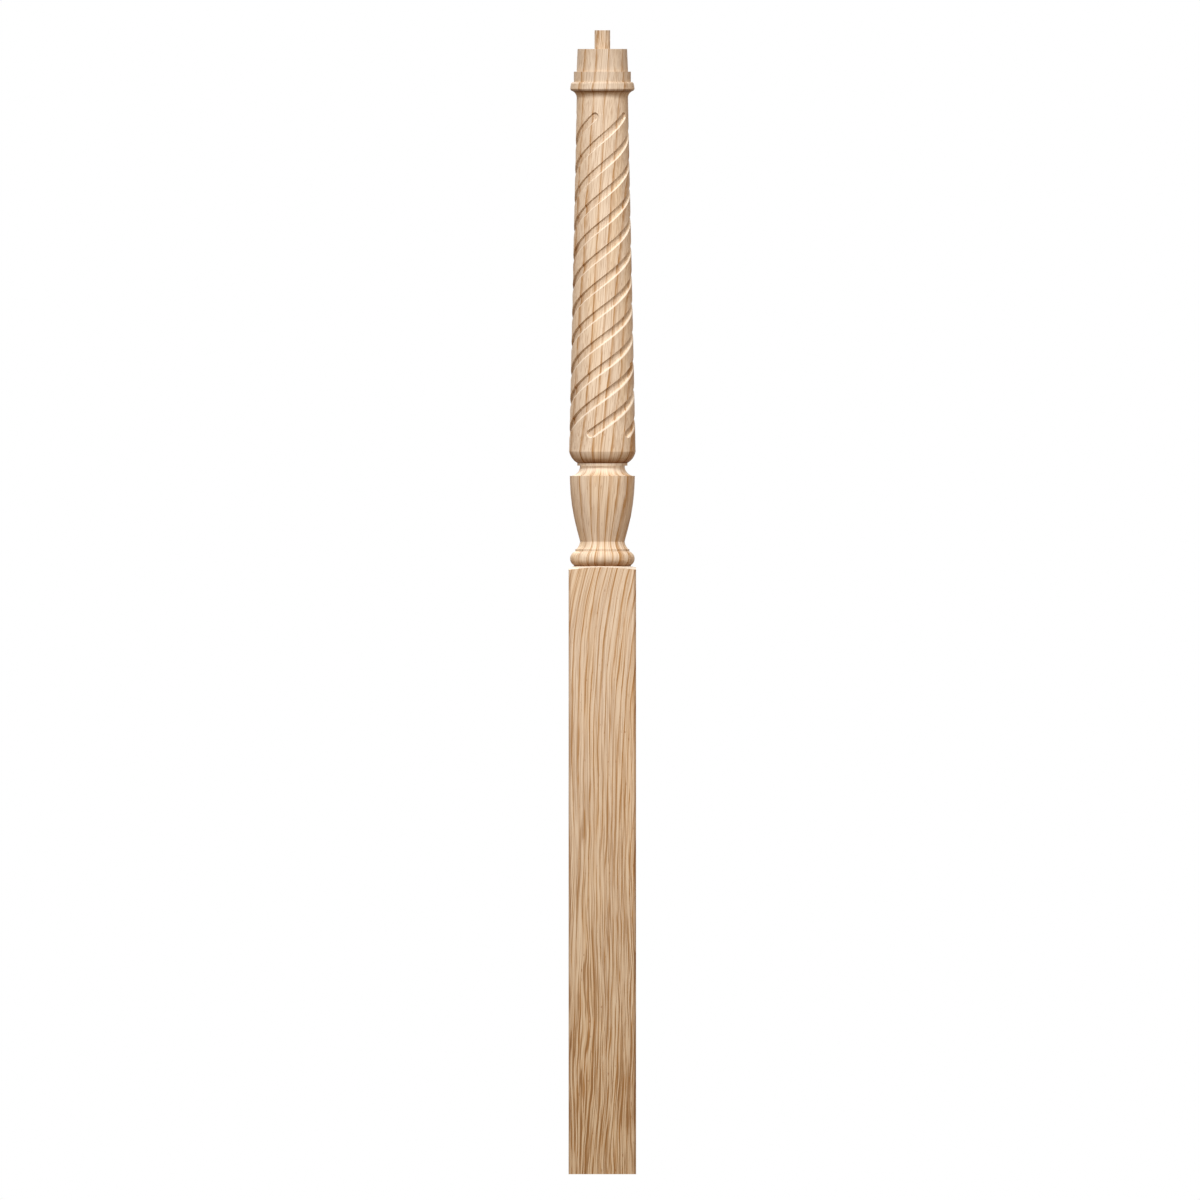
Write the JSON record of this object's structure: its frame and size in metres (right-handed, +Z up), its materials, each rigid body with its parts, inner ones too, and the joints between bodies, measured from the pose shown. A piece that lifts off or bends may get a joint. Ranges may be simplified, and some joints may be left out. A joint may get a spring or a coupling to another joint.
{
  "type": "landing newel post",
  "caption": "Turned wooden landing newel post: long square block, bead, urn, tapered shaft with right-hand spiral flutes, collar and a round pin on top for the handrail fitting",
  "frame": {"origin": "centre of the square foot, on the surface the post stands on", "axes": "+Z runs up the post along the turning axis, out of the rail pin; the block's four faces look along +X, -X, +Y and -Y, and the pictured face looks along -Y"},
  "size_m": [0.0826, 0.0826, 1.4],
  "materials": {
    "oak": "bare sanded oak, unfinished"
  },
  "bodies": {
    "root": {"newel_post": "oak"}
  },
  "joints": []
}
